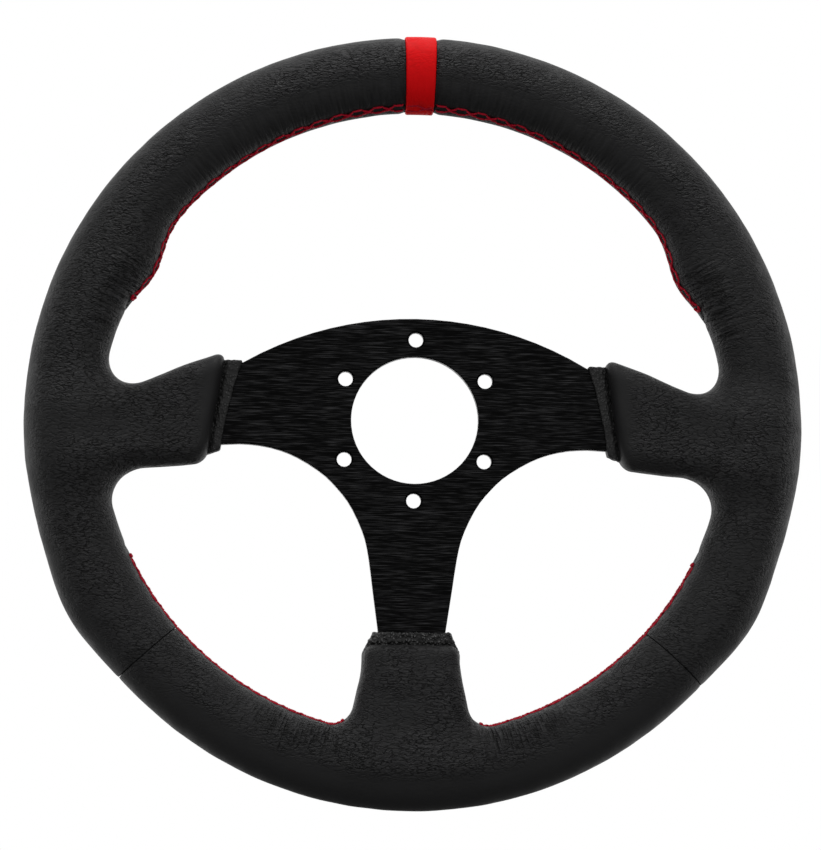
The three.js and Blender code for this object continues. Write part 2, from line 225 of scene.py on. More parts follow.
def rim_field(x, y, z):
    """The padded rim without its sheaths."""
    angle = np.degrees(np.arctan2(x, z))
    inner, outer = inner_radius(angle), outer_radius(angle)
    half_width, half_depth = (outer - inner) / 2, RIM_DEPTH / 2
    u = np.abs(np.hypot(x, z) - (inner + outer) / 2) / half_width
    v = np.abs(y) / half_depth
    size = (u**SQUARENESS + v**SQUARENESS) ** (1 / SQUARENESS) + 1e-9
    power = SQUARENESS - 1
    slope = np.hypot((u / size) ** power / half_width, (v / size) ** power / half_depth)
    return (size - 1) / np.maximum(slope, 1e-6)


def past_line(along, across, line):
    """The distance towards the hub from a line across a spoke."""
    (a0, c0), (a1, c1) = line
    length = math.hypot(a1 - a0, c1 - c0)
    return ((c1 - c0) * (along - a0) - (a1 - a0) * (across - c0)) / length


def sheath_field(along, y, across, sheath):
    """One sheath, cut off inside the rim."""
    columns = list(zip(*sheath["stations"]))
    lower, upper, depth = (smooth_curve(columns[0], column)(along) for column in columns[1:])
    radius = sheath["edge_radius"]
    sideways = np.abs(across - (lower + upper) / 2) - ((upper - lower) / 2 - radius)
    deep = np.abs(y) - (depth - radius)
    section = np.hypot(np.maximum(sideways, 0), np.maximum(deep, 0))
    section = section + np.minimum(np.maximum(sideways, deep), 0) - radius
    section = meet(section, along - SHEATH_OUTBOARD, radius)
    return meet(section, past_line(along, across, sheath["end"]), sheath["end_radius"])


def grip_field(x, y, z):
    """The whole padded rim with its three sheaths."""
    grip = rim_field(x, y, z)
    for along in (x, -x):
        grip = join(grip, sheath_field(along, y, z, SIDE_SHEATH), SIDE_SHEATH["fillet"])
    return join(grip, sheath_field(-z, y, x, BOTTOM_SHEATH), BOTTOM_SHEATH["fillet"])


def past_angle(x, z, angle):
    """The distance clockwise past a half plane that stands on the wheel's axis."""
    turn = math.radians(angle)
    return x * math.cos(turn) - z * math.sin(turn)


def marker_half(z):
    """Half the width of the room for the marker band, which widens a little outwards."""
    slope = (MARKER_OUTER_HALF - MARKER_INNER_HALF) / (RIM_OUTER - RIM_INNER)
    return MARKER_INNER_HALF + slope * (z - RIM_INNER)


def marker_field(x, y, z):
    """The marker band round the rim, standing a little proud of it."""
    sides = np.abs(x) - marker_half(z) + PANEL_GAP
    return meet(rim_field(x, y, z) - MARKER_PROUD, sides, MARKER_EDGE)


# ------------------------------------------------------------------ meshing
def gradient(field, points, step=0.05):
    """The direction in which the field grows, at each point."""
    slopes = []
    for axis in range(3):
        offset = np.zeros(3)
        offset[axis] = step
        ahead, behind = points + offset, points - offset
        slopes.append((field(*ahead.T) - field(*behind.T)) / (2 * step))
    slopes = np.stack(slopes, axis=1)
    return slopes / np.maximum(np.linalg.norm(slopes, axis=1, keepdims=True), 1e-6)


def settle(field, points, level=0.0, rounds=3):
    """Moves points onto the field's surface, and gives the surface's normals there too."""
    for _ in range(rounds):
        points = points - gradient(field, points) * (field(*points.T) - level)[:, None]
    return points, gradient(field, points)


def mesh_of_field(field, low, high, voxel, level=0.0):
    """Points and faces of the surface where the field equals level, found on a grid of voxels."""
    axes = [np.arange(a, b + voxel, voxel) for a, b in zip(low, high)]
    grid = np.meshgrid(*axes, indexing="ij", sparse=True)
    values = (field(*grid) - level).astype(np.float32)
    volume = openvdb.FloatGrid(background=float(values.max()))
    volume.copyFromArray(values)
    points, quads = volume.convertToQuads(isovalue=0.0)
    points = points.astype(float) * voxel + np.array(low, float)
    points, normals = settle(field, points, level)
    return points, quads[:, ::-1], normals


def facing_out(points, quads, normals):
    """Whether the faces look the same way as the normals."""
    corners = points[quads]
    cross = np.cross(corners[:, 2] - corners[:, 0], corners[:, 3] - corners[:, 1])
    return (cross * normals[quads[:, 0]]).sum() > 0


def make_object(name, points, faces):
    """An object in the scene, from points in millimetres."""
    mesh = bpy.data.meshes.new(name)
    mesh.from_pydata((np.asarray(points) * MM).tolist(), [], [list(map(int, f)) for f in faces])
    mesh.validate()
    piece = bpy.data.objects.new(name, mesh)
    bpy.context.scene.collection.objects.link(piece)
    return piece


def field_object(name, field, low, high, voxel, level=0.0, displace=None):
    """An object of the surface where the field equals level, pushed out along its normals."""
    points, quads, normals = mesh_of_field(field, low, high, voxel, level)
    if not facing_out(points, quads, normals):
        quads = quads[:, ::-1]
    if displace is not None:
        points = points + normals * displace(points)[:, None]
    return make_object(name, points, quads)


def boolean(piece, cutter, operation="DIFFERENCE"):
    """Cuts the piece's own mesh."""
    cut = piece.modifiers.new("cut", "BOOLEAN")
    cut.operation = operation
    cut.solver = "MANIFOLD"
    cut.object = cutter
    depsgraph = bpy.context.evaluated_depsgraph_get()
    result = bpy.data.meshes.new_from_object(piece.evaluated_get(depsgraph))
    piece.modifiers.clear()
    piece.data = result


def smooth(piece, angle=SHARP):
    piece.data.shade_smooth()
    piece.data.set_sharp_from_angle(angle=angle)


def noise_at(points, scale, seed):
    """Smooth noise from -1 to 1, with features about scale millimetres across."""
    shift = Vector((seed, seed * 0.7, -seed))
    places = np.asarray(points) / np.asarray(scale)
    return np.array([noise.noise(Vector(p) + shift) for p in places])


# ------------------------------------------------------------------ leather
def turn_of(points):
    """The turn from 12 o'clock, whichever way round."""
    return np.abs(np.degrees(np.arctan2(points[:, 0], points[:, 2])))


def around_of(points):
    """The turn about the rim's middle line: 0 on the outside, 90 at the back, 180 on the inner edge."""
    turn = turn_of(points)
    middle = (inner_radius(turn) + outer_radius(turn)) / 2
    out = np.hypot(points[:, 0], points[:, 2]) - middle
    return np.degrees(np.arctan2(points[:, 1], out)) % 360


def seam_around(turn):
    """Where the seam lies about the rim's middle line: in view above, and behind at each sheath."""
    forward = SEAM_FORWARD_TOP - (SEAM_FORWARD_TOP - SEAM_FORWARD_SIDE) * smooth_step(turn, 0, TOP_ENDS)
    forward = forward - (forward - SEAM_FORWARD_BELOW) * smooth_step(turn, *LOWER_SETS_IN)
    behind_side = smooth_step(turn, *GOES_BEHIND) - smooth_step(turn, *COMES_FORWARD)
    behind = np.maximum(behind_side, smooth_step(turn, *BOTTOM_GOES_BEHIND))
    return 180 + forward - (SEAM_BEHIND + forward) * behind


def off_seam(points):
    """The distance across the stitched seam, in millimetres, positive towards the driver."""
    return np.radians(around_of(points) - seam_around(turn_of(points))) * TUBE


def seam_bed(distance):
    """The shallow trough that the stitches pull the leather into."""
    return -0.35 * np.exp(-((distance / 3.4) ** 2))


def panel_folds(points):
    """The leather turning down where its panels end."""
    x, z = np.abs(points[:, 0]), points[:, 2]
    at_marker = -0.7 * np.exp(-(((x - marker_half(z)) / 1.5) ** 2)) * (z > 0)
    at_seam = -0.2 * np.exp(-((past_angle(x, z, SEAM_ANGLE) / 1.2) ** 2)) * (z < 0)
    return at_marker + at_seam


def leather_relief(points):
    """How far the leather stands up or sinks, beyond the plain shape."""
    turn, distance = turn_of(points), off_seam(points)
    drift = 0.16 * noise_at(points, 14.0, 3.1) + 0.08 * noise_at(points, 6.0, 8.3)
    drift = np.maximum(drift, -0.12)
    groove = seam_bed(distance) - 0.5 * np.exp(-((distance / 0.9) ** 2))
    gather = swell(turn, 58, 13) + swell(turn, 122, 9) + 1.2 * swell(turn, 160, 8)
    near_seam = np.exp(-((distance / 8.0) ** 2))
    pleats = 0.26 * gather * near_seam * noise_at(pleat_places(points, turn, distance), 1.0, 5.7)
    return drift + groove + pleats + panel_folds(points)


def pleat_places(points, turn, distance):
    """Short creases that run away from the seam, close together along it."""
    along = np.radians(turn) * RIM_INNER
    return np.stack([along / 2.6, distance / 9.0, np.sign(points[:, 0]) * 20.0], axis=1)


def panel_box(xs, zs):
    """The corners of a grid that holds the rim's whole depth between the given X and Z."""
    low = (xs[0] - FIELD_MARGIN, -RIM_DEPTH / 2 - FIELD_MARGIN, zs[0] - FIELD_MARGIN)
    high = (xs[1] + FIELD_MARGIN, RIM_DEPTH / 2 + FIELD_MARGIN, zs[1] + FIELD_MARGIN)
    return low, high


def spoke_point(side, along, across):
    """X and Z of a place given along and across a spoke."""
    if side == "bottom":
        return across, -along
    return (along if side == "right" else -along), across


def cuff_of(side):
    return BOTTOM_CUFF if side == "bottom" else SIDE_CUFF


def sheath_of(side):
    return BOTTOM_SHEATH if side == "bottom" else SIDE_SHEATH


def cuff_slot(side):
    """A block that cuts the leather where the plate and its cuff pass through the sheath's end."""
    (a0, c0), (a1, c1) = cuff_of(side)["inner"]
    corners = [(a0, c0), (a0 + SLOT_REACH, c0 - 4), (a1 + SLOT_REACH, c1), (a1, c1)]
    return prism("slot_cutter", [spoke_point(side, *corner) for corner in corners], CUFF_FACE + SLOT_ROOM)


def fix_normals(piece):
    """Turns every face to look outwards."""
    solid = bmesh.new()
    solid.from_mesh(piece.data)
    bmesh.ops.recalc_face_normals(solid, faces=solid.faces)
    solid.to_mesh(piece.data)
    solid.free()


def whole_box():
    """The corners of a grid that holds the whole wheel."""
    reach = RIM_OUTER + PALM_HEIGHT + SIDE_SWELL
    return panel_box((-reach, reach), (-reach, reach))


def make_core():
    """The padding's outer surface, which the leather lies on."""
    return field_object("core_cutter", grip_field, *whole_box(), CORE_VOXEL, level=-LEATHER)


def make_skin(core):
    """The whole leather cover in one piece, hollow, with a slot for each spoke."""
    skin = field_object("leather_skin", grip_field, *whole_box(), VOXEL, displace=leather_relief)
    boolean(skin, core)
    for side in ("right", "left", "bottom"):
        slot = cuff_slot(side)
        boolean(skin, slot)
        bpy.data.objects.remove(slot)
    room = marker_room()
    boolean(skin, room)
    bpy.data.objects.remove(room)
    return skin


def prism(name, flat, face):
    """A block with the given outline in X and Z, between two depths."""
    count = len(flat)
    points = [(x, y, z) for y in (-face, face) for x, z in flat]
    faces = [tuple(range(count)), tuple(reversed(range(count, 2 * count)))]
    faces += [(i, i + count, (i + 1) % count + count, (i + 1) % count) for i in range(count)]
    block = make_object(name, points, faces)
    fix_normals(block)
    return block


def marker_room():
    """A block that makes room in the leather for the marker band."""
    low, high = RIM_INNER - 15, RIM_OUTER + 15
    below, above = marker_half(low), marker_half(high)
    return prism("marker_cutter", [(-below, low), (below, low), (above, high), (-above, high)], RIM_DEPTH)


def sector_block(start, end):
    """A pie slice of the wheel that stays short of both its angles by the panels' gap."""
    steps = math.ceil((end - start) / 40)
    turns = np.radians(np.linspace(start, end, steps + 1))
    middle = math.radians((start + end) / 2)
    shift = PANEL_GAP / math.sin(math.radians(end - start) / 2)
    centre = np.array([math.sin(middle), math.cos(middle)]) * shift
    arc = centre + 1.5 * RIM_OUTER * np.stack([np.sin(turns), np.cos(turns)], axis=1)
    return prism("sector_cutter", [centre, *arc], RIM_DEPTH)


def make_panel(side, skin):
    """One of the three leather panels: a sector of the whole cover."""
    start, end = (SEAM_ANGLE, 360 - SEAM_ANGLE) if side == "bottom" else (0, SEAM_ANGLE)
    if side == "left":
        start, end = -end, -start
    piece = bpy.data.objects.new(f"rim_leather_{side}", skin.data.copy())
    bpy.context.scene.collection.objects.link(piece)
    sector = sector_block(start, end)
    boolean(piece, sector, "INTERSECT")
    bpy.data.objects.remove(sector)
    smooth(piece)
    return piece


def make_marker(core):
    """The red band, puckered and dented where it is sewn up."""
    half = MARKER_OUTER_HALF
    low, high = panel_box((-half, half), (RIM_INNER - MARKER_PROUD, RIM_OUTER + MARKER_PROUD))

    def relief(points):
        distance = off_seam(points)
        pucker = noise_at(points, (2.2, 3.0, 3.0), 4.4) * np.exp(-((distance / 4.5) ** 2))
        dent = np.exp(-((distance / 2.6) ** 2) - (points[:, 0] / 4.5) ** 2)
        return 0.45 * pucker - 0.7 * dent + 0.05 * noise_at(points, 7.0, 2.0)

    piece = field_object("marker_band", marker_field, low, high, CUFF_VOXEL, displace=relief)
    boolean(piece, core)
    smooth(piece)
    return piece


def cuff_field(side):
    """The field of one cuff: a slab over the plate that widens and thins as it goes under the sheath."""
    cuff, sheath = cuff_of(side), sheath_of(side)
    (a0, c0), (a1, c1) = cuff["inner"]
    middle, half = (c0 + c1) / 2, (c0 - c1) / 2

    def field(x, y, z):
        along, across = (-z, x) if side == "bottom" else ((x if side == "right" else -x), z)
        bow = cuff["hollow"] * (1 - ((across - middle) / half) ** 2)
        hub_side = past_line(along, across, cuff["inner"]) + bow
        under = -past_line(along, across, sheath["end"]) - CUFF_UNDER
        ends = np.abs(across - middle) - half
        rate, run = cuff["flare"]
        if side == "bottom":
            ends = ends - rate * np.clip(along - a0, 0, run)
        else:
            ends = np.where(across < middle, ends - rate * np.clip(along - a1, 0, run), ends)
        tuck = smooth_step(past_line(along, across, sheath["end"]), 2.2, -0.4)
        faces = np.abs(y) - (PLATE_FACE + CUFF_THICK - CUFF_TUCK * tuck)
        shape = meet(faces, hub_side, 0.7)
        return meet(meet(shape, ends, 0.9), under, 0.5)

    return field


def cut_plate_out(piece):
    """Makes room in a cuff for the plate."""
    cutter = bpy.data.objects.new("plate_cutter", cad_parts["spoke_plate"].data.copy())
    bpy.context.scene.collection.objects.link(cutter)
    boolean(piece, cutter)
    bpy.data.objects.remove(cutter)


def make_cuff(side):
    """A crinkled strip of leather that wraps the plate where it enters the sheath."""
    cuff = cuff_of(side)
    (a0, c0), (a1, c1) = cuff["inner"]

    def relief(points):
        coarse = np.abs(noise_at(points, 2.4, 1.7)) - 0.3
        fine = noise_at(points, 1.3, 6.1)
        return cuff["crinkle"] * (coarse + 0.6 * fine)

    corners = [spoke_point(side, a, c) for a in (a0 - 4, a1 + cuff["reach"] + 4) for c in (c0 + 5, c1 - 5)]
    xs, zs = zip(*corners)
    low = (min(xs), -CUFF_FACE - 2, min(zs))
    high = (max(xs), CUFF_FACE + 2, max(zs))
    piece = field_object(f"cuff_leather_{side}", cuff_field(side), low, high, CUFF_VOXEL, displace=relief)
    cut_plate_out(piece)
    smooth(piece, CUFF_SHARP)
    return piece


# ------------------------------------------------------------------ stitching
def surface_points(turns, arounds, lift, sign):
    """Points on the leather, lifted off it, from turns about the axle and about the rim's middle line."""
    turns, arounds = np.asarray(turns, float), np.radians(np.asarray(arounds, float))
    inner, outer = inner_radius(turns), outer_radius(turns)
    radius = (inner + outer) / 2 + (outer - inner) / 2 * np.cos(arounds)
    across = sign * radius * np.sin(np.radians(turns))
    deep = RIM_DEPTH / 2 * np.sin(arounds)
    up = radius * np.cos(np.radians(turns))
    points, normals = settle(grip_field, np.stack([across, deep, up], axis=1))
    bed = seam_bed(off_seam(points))
    return points + normals * (np.asarray(lift) + bed)[:, None]


def thread_tube(path, radius):
    """Rings of points and faces of a two-ply thread with narrowed ends."""
    path = np.asarray(path)
    tangents = np.gradient(path, axis=0)
    tangents /= np.linalg.norm(tangents, axis=1, keepdims=True)
    side = np.cross(tangents[0], (0.3, 0.9, 0.31))
    points, travelled = [], 0.0
    last = len(path) - 1
    for i, (centre, tangent) in enumerate(zip(path, tangents)):
        side = side - tangent * (side @ tangent)
        side /= np.linalg.norm(side)
        up = np.cross(tangent, side)
        travelled += np.linalg.norm(path[i] - path[i - 1]) if i else 0.0
        taper = 0.55 if i in (0, last) else 1.0
        for k in range(THREAD_SIDES):
            turn = 2 * math.pi * k / THREAD_SIDES
            ply = 1 + PLY_DEPTH * math.cos(2 * turn - PLY_TURN * travelled)
            points.append(centre + radius * taper * ply * (side * math.cos(turn) + up * math.sin(turn)))
    faces = []
    for ring in range(0, last * THREAD_SIDES, THREAD_SIDES):
        for k in range(THREAD_SIDES):
            a, b = ring + k, ring + (k + 1) % THREAD_SIDES
            faces.append((a, b, b + THREAD_SIDES, a + THREAD_SIDES))
    faces.append(tuple(reversed(range(THREAD_SIDES))))
    faces.append(tuple(range(last * THREAD_SIDES, (last + 1) * THREAD_SIDES)))
    return points, faces


def add_tube(batch, path, radius=THREAD_RADIUS):
    """Adds a thread to the points and faces gathered for one piece."""
    points, faces = thread_tube(path, radius)
    base = len(batch["points"])
    batch["points"].extend(points)
    batch["faces"].extend(tuple(base + i for i in face) for face in faces)


def row_angle():
    """How far each row lies from the seam, about the rim's middle line."""
    return math.degrees(ROW_HALF_GAP / TUBE)


def stitch_path(turns, rows, heights, sign):
    """A thread path. Rows run from -1, the rear row, to 1, the front one."""
    turns = np.asarray(turns, float)
    arounds = seam_around(np.abs(turns)) + np.asarray(rows) * row_angle()
    return surface_points(turns, arounds, heights, sign)


def arch(count, height, sunk):
    """Heights of a stitch that comes up through the leather, lies on it and goes down again."""
    t = np.linspace(0, 1, count)
    return sunk + (height - sunk) * np.minimum(1, 3.2 * np.sin(math.pi * t))


def stitch_run(
    batch, start, end, sign, wobble, lift=THREAD_LIFT, sunk=THREAD_SUNK, raised=THREAD_RAISED
):
    """Dashes in two rows with a cross between each pair, all along a seam."""
    pitch = math.degrees(STITCH_PITCH / RIM_INNER)
    count = max(1, round((end - start) / pitch))
    pitch = (end - start) / count
    dash = pitch * DASH_LENGTH / STITCH_PITCH
    for i in range(count):
        first = start + i * pitch
        jitter = wobble.uniform(-STITCH_JITTER, STITCH_JITTER, 4)
        dash_turns = np.linspace(first, first + dash, 9)
        cross_turns = np.linspace(first + dash * 0.93, first + pitch * 1.02, 11)
        lying = arch(9, lift, sunk)
        for row, shift in ((-1, jitter[0]), (1, jitter[1])):
            add_tube(batch, stitch_path(dash_turns, np.full(9, row + shift), lying, sign))
        for row, raise_by, shift in ((-1, -0.05, jitter[2]), (1, raised, jitter[3])):
            rows = np.linspace(row, -row, 11) * (CROSS_WIDTH + shift)
            heights = arch(11, lift + 0.05, sunk)
            heights = heights + raise_by * np.exp(-(((np.linspace(-1, 1, 11)) / 0.35) ** 2))
            add_tube(batch, stitch_path(cross_turns, rows, heights, sign))


def end_loop(batch, turn, reach, sign):
    """The thick closed turn of thread that finishes a seam."""
    t = np.linspace(-0.5, 0.5, 17) * math.pi
    turns = turn + reach * np.cos(t)
    rows = 1.05 * np.sin(t)
    heights = np.full(17, THREAD_LIFT + 0.15)
    add_tube(batch, stitch_path(turns, rows, heights, sign), THREAD_RADIUS * 1.35)


def end_knot(batch, turn, sign):
    """A small knob of thread: a tight coil of three turns."""
    t = np.linspace(0, 3 * 2 * math.pi, 40)
    turns = turn + 0.28 * np.cos(t)
    rows = 0.3 * np.sin(t) + 0.3
    heights = THREAD_LIFT + 0.5 * t / t[-1]
    add_tube(batch, stitch_path(turns, rows, heights, sign), THREAD_RADIUS)


def side_threads(batch, sign, wobble):
    """From the marker band to the sheath, behind the spoke, and on to the panel seam."""
    stitch_run(batch, MARKER_HALF_ANGLE + 0.35, LOOP_ANGLE - 1.0, sign, wobble)
    end_loop(batch, LOOP_ANGLE - 0.8, 0.9, sign)
    stitch_run(batch, *BEHIND_SPOKE_RUN, sign, wobble)
    end_knot(batch, LOWER_START - 0.4, sign)
    stitch_run(batch, LOWER_START, SEAM_ANGLE - 0.05, sign, wobble, **TIGHT_STITCH)


def bottom_threads(batch, wobble):
    """From each panel seam to the bottom sheath, and behind its spoke."""
    for sign, last in ((1, LOWER_END_RIGHT), (-1, LOWER_END_LEFT)):
        stitch_run(batch, SEAM_ANGLE + 0.05, last, sign, wobble, **TIGHT_STITCH)
        end_knot(batch, last + 0.4, sign)
        stitch_run(batch, *BEHIND_BOTTOM_RUN, sign, wobble)


def make_threads():
    """The four stitching pieces. The order of the calls is the order of the random draws."""
    wobble = np.random.default_rng(7)
    pieces = {name: {"points": [], "faces": []} for name in ("right", "left", "bottom", "marker")}
    side_threads(pieces["right"], 1, wobble)
    side_threads(pieces["left"], -1, wobble)
    bottom_threads(pieces["bottom"], wobble)
    half = MARKER_HALF_ANGLE - 0.2
    stitch_run(pieces["marker"], -half, half, 1, wobble, **MARKER_STITCH)
    made = {}
    for name, batch in pieces.items():
        piece = make_object(f"thread_{name}", batch["points"], batch["faces"])
        fix_normals(piece)
        smooth(piece, THREAD_SHARP)
        made[name] = piece
    return made


# ------------------------------------------------------------------ materials
MAP_SOCKETS = ("From Min", "From Max", "To Min", "To Max")


class Nodes:
    """Short calls for building a node tree."""

    def __init__(self, tree, place):
        self.tree = tree
        self.place = self.add("ShaderNodeTexCoord").outputs[place]

    def add(self, kind, **values):
        node = self.tree.nodes.new(kind)
        for name, value in values.items():
            setattr(node, name, value)
        return node

    def link(self, source, target):
        self.tree.links.new(source, target)

    def feed(self, socket, value):
        """Links another node's output to the socket, or sets a constant on it."""
        if isinstance(value, bpy.types.NodeSocket):
            self.link(value, socket)
        else:
            socket.default_value = value

    def set(self, node, **values):
        for name, value in values.items():
            self.feed(node.inputs[name.replace("_", " ")], value)

    def split(self):
        """X, Y and Z of the place."""
        node = self.add("ShaderNodeSeparateXYZ")
        self.link(self.place, node.inputs[0])
        return node.outputs

    def noise(self, scale, detail=2.0, rough=0.5, vector=None):
        node = self.add("ShaderNodeTexNoise")
        self.set(node, Vector=vector or self.place, Scale=scale, Detail=detail, Roughness=rough)
        return node.outputs["Fac"]

    def stretched(self, scales, detail=1.0, rough=0.5, vector=None):
        """Noise with a scale of its own along each axis."""
        mapping = self.add("ShaderNodeMapping")
        self.set(mapping, Vector=vector or self.place, Scale=scales)
        return self.noise(1.0, detail, rough, mapping.outputs["Vector"])

    def cells(self, scale, vector=None):
        """The distance from the nearest of many scattered points."""
        node = self.add("ShaderNodeTexVoronoi", feature="F1")
        self.set(node, Vector=vector or self.place, Scale=scale)
        return node.outputs["Distance"]

    def math(self, operation, first, second=0.0, clamp=False):
        node = self.add("ShaderNodeMath", operation=operation, use_clamp=clamp)
        for socket, value in zip(node.inputs, (first, second)):
            self.feed(socket, value)
        return node.outputs[0]

    def plus(self, first, second):
        return self.math("ADD", first, second)

    def times(self, first, second):
        return self.math("MULTIPLY", first, second)

    def either(self, first, second):
        return self.math("MAXIMUM", first, second)

    def spread(self, value, low, high, to_low=0.0, to_high=1.0):
        """From to_low where the value is low to to_high where it is high, level past both."""
        node = self.add("ShaderNodeMapRange", interpolation_type="SMOOTHSTEP")
        self.link(value, node.inputs["Value"])
        for socket, number in zip(MAP_SOCKETS, (low, high, to_low, to_high)):
            node.inputs[socket].default_value = number
        return node.outputs["Result"]

    def blend(self, factor, first, second):
        node = self.add("ShaderNodeMix", data_type="RGBA")
        self.link(factor, node.inputs["Factor"])
        for socket, value in zip([s for s in node.inputs if s.type == "RGBA"], (first, second)):
            socket.default_value = (*value, 1)
        return next(s for s in node.outputs if s.type == "RGBA")

    def warp(self, amount, scale):
        """The place, pushed about by noise, so that a pattern loses its regularity."""
        wander = self.add("ShaderNodeTexNoise")
        self.set(wander, Vector=self.place, Scale=scale, Detail=2.0)
        centred = self.add("ShaderNodeVectorMath", operation="SUBTRACT")
        self.link(wander.outputs["Color"], centred.inputs[0])
        centred.inputs[1].default_value = (0.5, 0.5, 0.5)
        scaled = self.add("ShaderNodeVectorMath", operation="SCALE")
        self.link(centred.outputs[0], scaled.inputs[0])
        scaled.inputs["Scale"].default_value = amount
        moved = self.add("ShaderNodeVectorMath", operation="ADD")
        self.link(self.place, moved.inputs[0])
        self.link(scaled.outputs[0], moved.inputs[1])
        return moved.outputs[0]

    def bump(self, height, distance, strength=1.0):
        node = self.add("ShaderNodeBump")
        self.set(node, Height=height, Distance=distance, Strength=strength)
        return node.outputs["Normal"]


class Material(Nodes):
    """A new material's node tree."""

    def __init__(self, name):
        self.material = bpy.data.materials.new(name)
        self.material.use_nodes = True
        super().__init__(self.material.node_tree, "Object")

    def finish(self, **values):
        """Sets the shader's sockets and gives the material."""
        self.set(self.tree.nodes["Principled BSDF"], **values)
        return self.material


# Leather wrinkles. Scales are features per metre along X, Y and Z; shares say how much each kind counts.
# A furrow's width is in steps of the noise it is drawn from. The colour is painted shade in the creases
# and a painted highlight on the ridges: darker below the middle height, lighter above it, round the middle
# tone.
FURROW_SCALE, FURROW_SHARE, FURROW_WIDTH = (240.0, 500.0, 640.0), 0.36, 0.075
FOLD_SCALE, FOLD_SHARE = (560.0, 800.0, 1000.0), 0.65
FINE_SCALE, FINE_SHARE = (1300.0, 1600.0, 2000.0), 0.25
GRAIN_SCALE, GRAIN_SHARE = 2600.0, 0.05
PATCH_SCALE, WORN_SCALE = 38.0, 150.0
PLEATS_PER_RADIAN, PLEATS_OUTWARDS, PLEATS_THROUGH = 105.0, 80.0, 130.0
PLEAT_STRENGTH = 1.4
# How strongly the creases are painted darker and the ridges lighter: painted shade and painted highlight.
MIDDLE_HEIGHT, MIDDLE_TONE, PAINTED_RELIEF_SHADING = 0.68, 0.42, 1.65
LEATHER_BUMP = 0.0014


def polar_place(n):
    """The distance from the axle in metres, the turn from 12 o'clock in radians, and Y and Z."""
    x, y, z = n.split()
    radius = n.math("SQRT", n.plus(n.times(x, x), n.times(z, z)))
    turn = n.math("ABSOLUTE", n.math("ARCTAN2", x, z))
    return radius, turn, y, z


def wrinkle_amount(n, radius, z):
    """Wrinkles come in patches. They leave off at the sheaths' ends and the rim's outer edge, on the inner
    half of the rim near the top and on its outer half at the bottom."""
    amount = n.spread(n.noise(PATCH_SCALE, 1.0), 0.36, 0.58, 0.45, 1.0)
    past_sheath_end = n.spread(radius, 0.090, 0.101)
    short_of_edge = n.spread(radius, 0.160, 0.1665, 1.0, 0.25)
    not_inside_top = n.either(n.spread(radius, 0.145, 0.155), n.spread(z, 0.075, 0.105, 1.0, 0.12))
    not_below = n.either(n.spread(radius, 0.150, 0.157, 1.0, 0.1), n.spread(z, -0.13, -0.09))
    for mask in (past_sheath_end, short_of_edge, not_inside_top, not_below):
        amount = n.times(amount, mask)
    return amount


def pleat_amount(n, radius, turn):
    """Pleats run out from the inner edge: most beside the bottom spoke and in the thumb notches."""
    near_edge = n.times(n.spread(radius, 0.123, 0.129), n.spread(radius, 0.142, 0.1525, 1.0, 0.0))
    beside_spoke = n.times(n.spread(turn, 2.60, 2.72), n.spread(turn, 2.88, 2.98, 1.25, 0.0))
    at_notch = n.times(n.spread(turn, 1.0, 1.12), n.spread(turn, 1.25, 1.36, 1.0, 0.0))
    along_top = n.spread(turn, 0.7, 1.0, 0.3, 0.12)
    gathered = n.plus(n.plus(beside_spoke, at_notch), along_top)
    return n.times(n.times(near_edge, gathered), PLEAT_STRENGTH)


def leather_height(n, wrinkle):
    """The leather's height for its bump, and its colour's painted shading: from 0, painted shade in the
    creases, to 1, a painted highlight on the ridges.
    """
    radius, turn, y, z = polar_place(n)
    bent = n.warp(0.0008, 260.0)
    waves = n.stretched(FURROW_SCALE, vector=bent)
    furrows = n.spread(n.math("ABSOLUTE", n.math("SUBTRACT", waves, 0.5)), 0.0, FURROW_WIDTH)
    folds = n.stretched(FOLD_SCALE, rough=0.45, vector=bent)
    fine = n.stretched(FINE_SCALE, vector=bent)
    rolled = n.plus(n.times(furrows, FURROW_SHARE), n.times(folds, FOLD_SHARE))
    rolled = n.plus(rolled, n.times(fine, FINE_SHARE))
    polar = n.add("ShaderNodeCombineXYZ")
    scales = (PLEATS_PER_RADIAN, PLEATS_OUTWARDS, PLEATS_THROUGH)
    for source, scale, socket in zip((turn, radius, y), scales, polar.inputs):
        n.link(n.times(source, scale), socket)
    pleats = n.noise(1.0, 1.0, 0.5, polar.outputs[0])
    amount, pleated = wrinkle_amount(n, radius, z), pleat_amount(n, radius, turn)
    height = n.plus(n.times(n.times(rolled, amount), wrinkle), n.times(pleats, pleated))
    # Painted shade in the creases and pleat hollows, and a painted highlight on their ridges.
    crease_painted_shading = n.times(n.math("SUBTRACT", rolled, MIDDLE_HEIGHT), amount)
    pleat_painted_shading = n.times(n.math("SUBTRACT", pleats, 0.5), pleated)
    relief_painted_shading = n.math("ADD", n.times(n.plus(crease_painted_shading, pleat_painted_shading), PAINTED_RELIEF_SHADING), MIDDLE_TONE, clamp=True)
    return height, relief_painted_shading


def leather_material(name, dark, light, rough, wrinkle, gloss):
    """Grained leather: soft wrinkles over a very fine grain, with painted shade in the creases and a
    painted highlight on the ridges.
    """
    n = Material(name)
    height, relief_painted_shading = leather_height(n, wrinkle)
    grain = n.times(n.noise(GRAIN_SCALE, 1.0, 0.5), GRAIN_SHARE)
    worn = n.noise(WORN_SCALE, 3.0)
    return n.finish(
        # The base colour carries painted shade in the creases and a painted highlight on the ridges.
        Base_Color=n.blend(relief_painted_shading, dark, light),
        Roughness=n.spread(worn, 0.3, 0.7, rough + 0.05, rough - 0.05),
        Normal=n.bump(n.plus(height, grain), LEATHER_BUMP),
        Specular_IOR_Level=gloss,
    )


